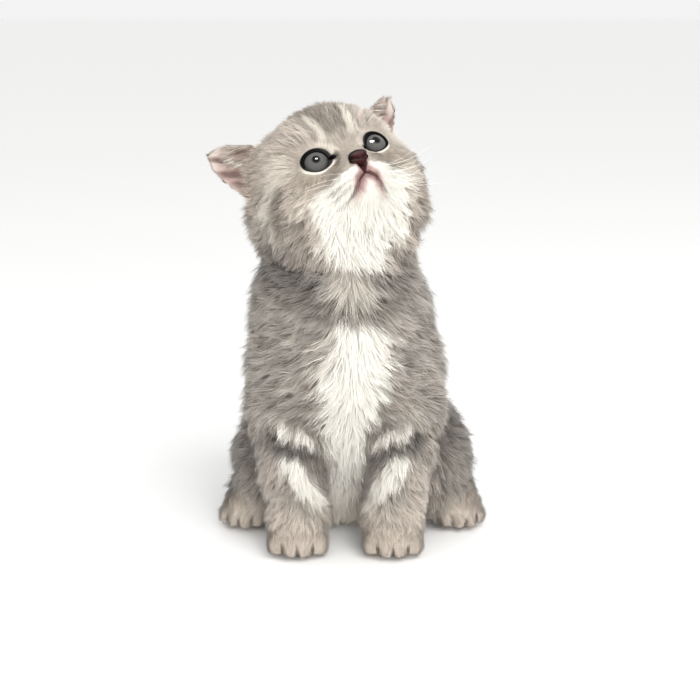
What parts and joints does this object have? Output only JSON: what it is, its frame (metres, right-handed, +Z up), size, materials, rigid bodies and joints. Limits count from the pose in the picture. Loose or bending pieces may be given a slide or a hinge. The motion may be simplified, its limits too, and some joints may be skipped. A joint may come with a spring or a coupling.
{
  "type": "sitting kitten",
  "caption": "Life-size model of a sitting short-haired kitten with upright ears, looking up and to its left.",
  "frame": {"origin": "on the floor, under the middle of the model", "axes": "+Z up; the kitten's body faces -Y and its own left side is towards +X"},
  "size_m": [0.1202, 0.1544, 0.1864],
  "materials": {
    "coat_grey": "soft silver-beige fur with darker bands",
    "coat_pale": "soft cream to white fur on the face and paws",
    "ear_skin": "thin pink-beige skin with fine pale hairs",
    "nose_skin": "finely grained, slightly moist nose leather",
    "eye": "wet and glossy, grey-blue iris under a clear cornea"
  },
  "bodies": {
    "root": {"head": "coat_pale", "nose": "nose_skin", "ear_left": "ear_skin", "ear_right": "ear_skin", "eye_left": "eye", "eye_right": "eye", "neck": "coat_grey", "torso": "coat_grey", "foreleg_left": "coat_grey", "foreleg_right": "coat_grey", "forepaw_left": "coat_pale", "forepaw_right": "coat_pale", "thigh_left": "coat_grey", "thigh_right": "coat_grey", "hindfoot_left": "coat_pale", "hindfoot_right": "coat_pale", "tail_root": "coat_grey", "tail_middle": "coat_grey", "tail_tip": "coat_grey"}
  },
  "joints": []
}
